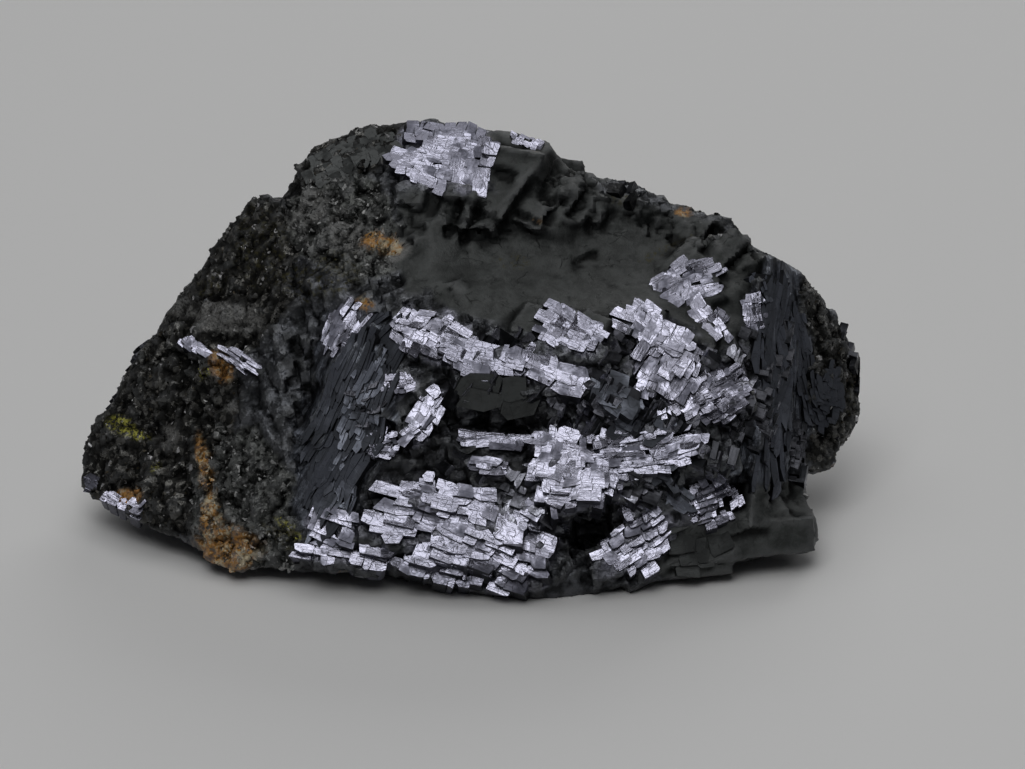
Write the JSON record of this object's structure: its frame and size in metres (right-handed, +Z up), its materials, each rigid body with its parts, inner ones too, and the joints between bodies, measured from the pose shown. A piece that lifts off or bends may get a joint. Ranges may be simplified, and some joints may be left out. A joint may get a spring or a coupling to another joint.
{
  "type": "galena specimen",
  "caption": "Hand-sized lump of galena ore with stepped cubic cleavage, dark sphalerite and quartz patches, resting on a flat broken face.",
  "frame": {"origin": "under the middle of the specimen's box, on the plane it rests on", "axes": "+X to the right along the longest side, +Y to the back, away from the pictured face, +Z up"},
  "size_m": [0.1022, 0.0538, 0.0508],
  "materials": {
    "galena": "lead-grey, dull on broken faces and mirror-bright on fresh cleavage",
    "quartz": "sugary to glassy, grey-white, iron-stained in places",
    "sphalerite": "granular, brownish black",
    "chalcopyrite": "small brassy yellow grains"
  },
  "bodies": {
    "root": {"galena_specimen": "galena"}
  },
  "joints": []
}
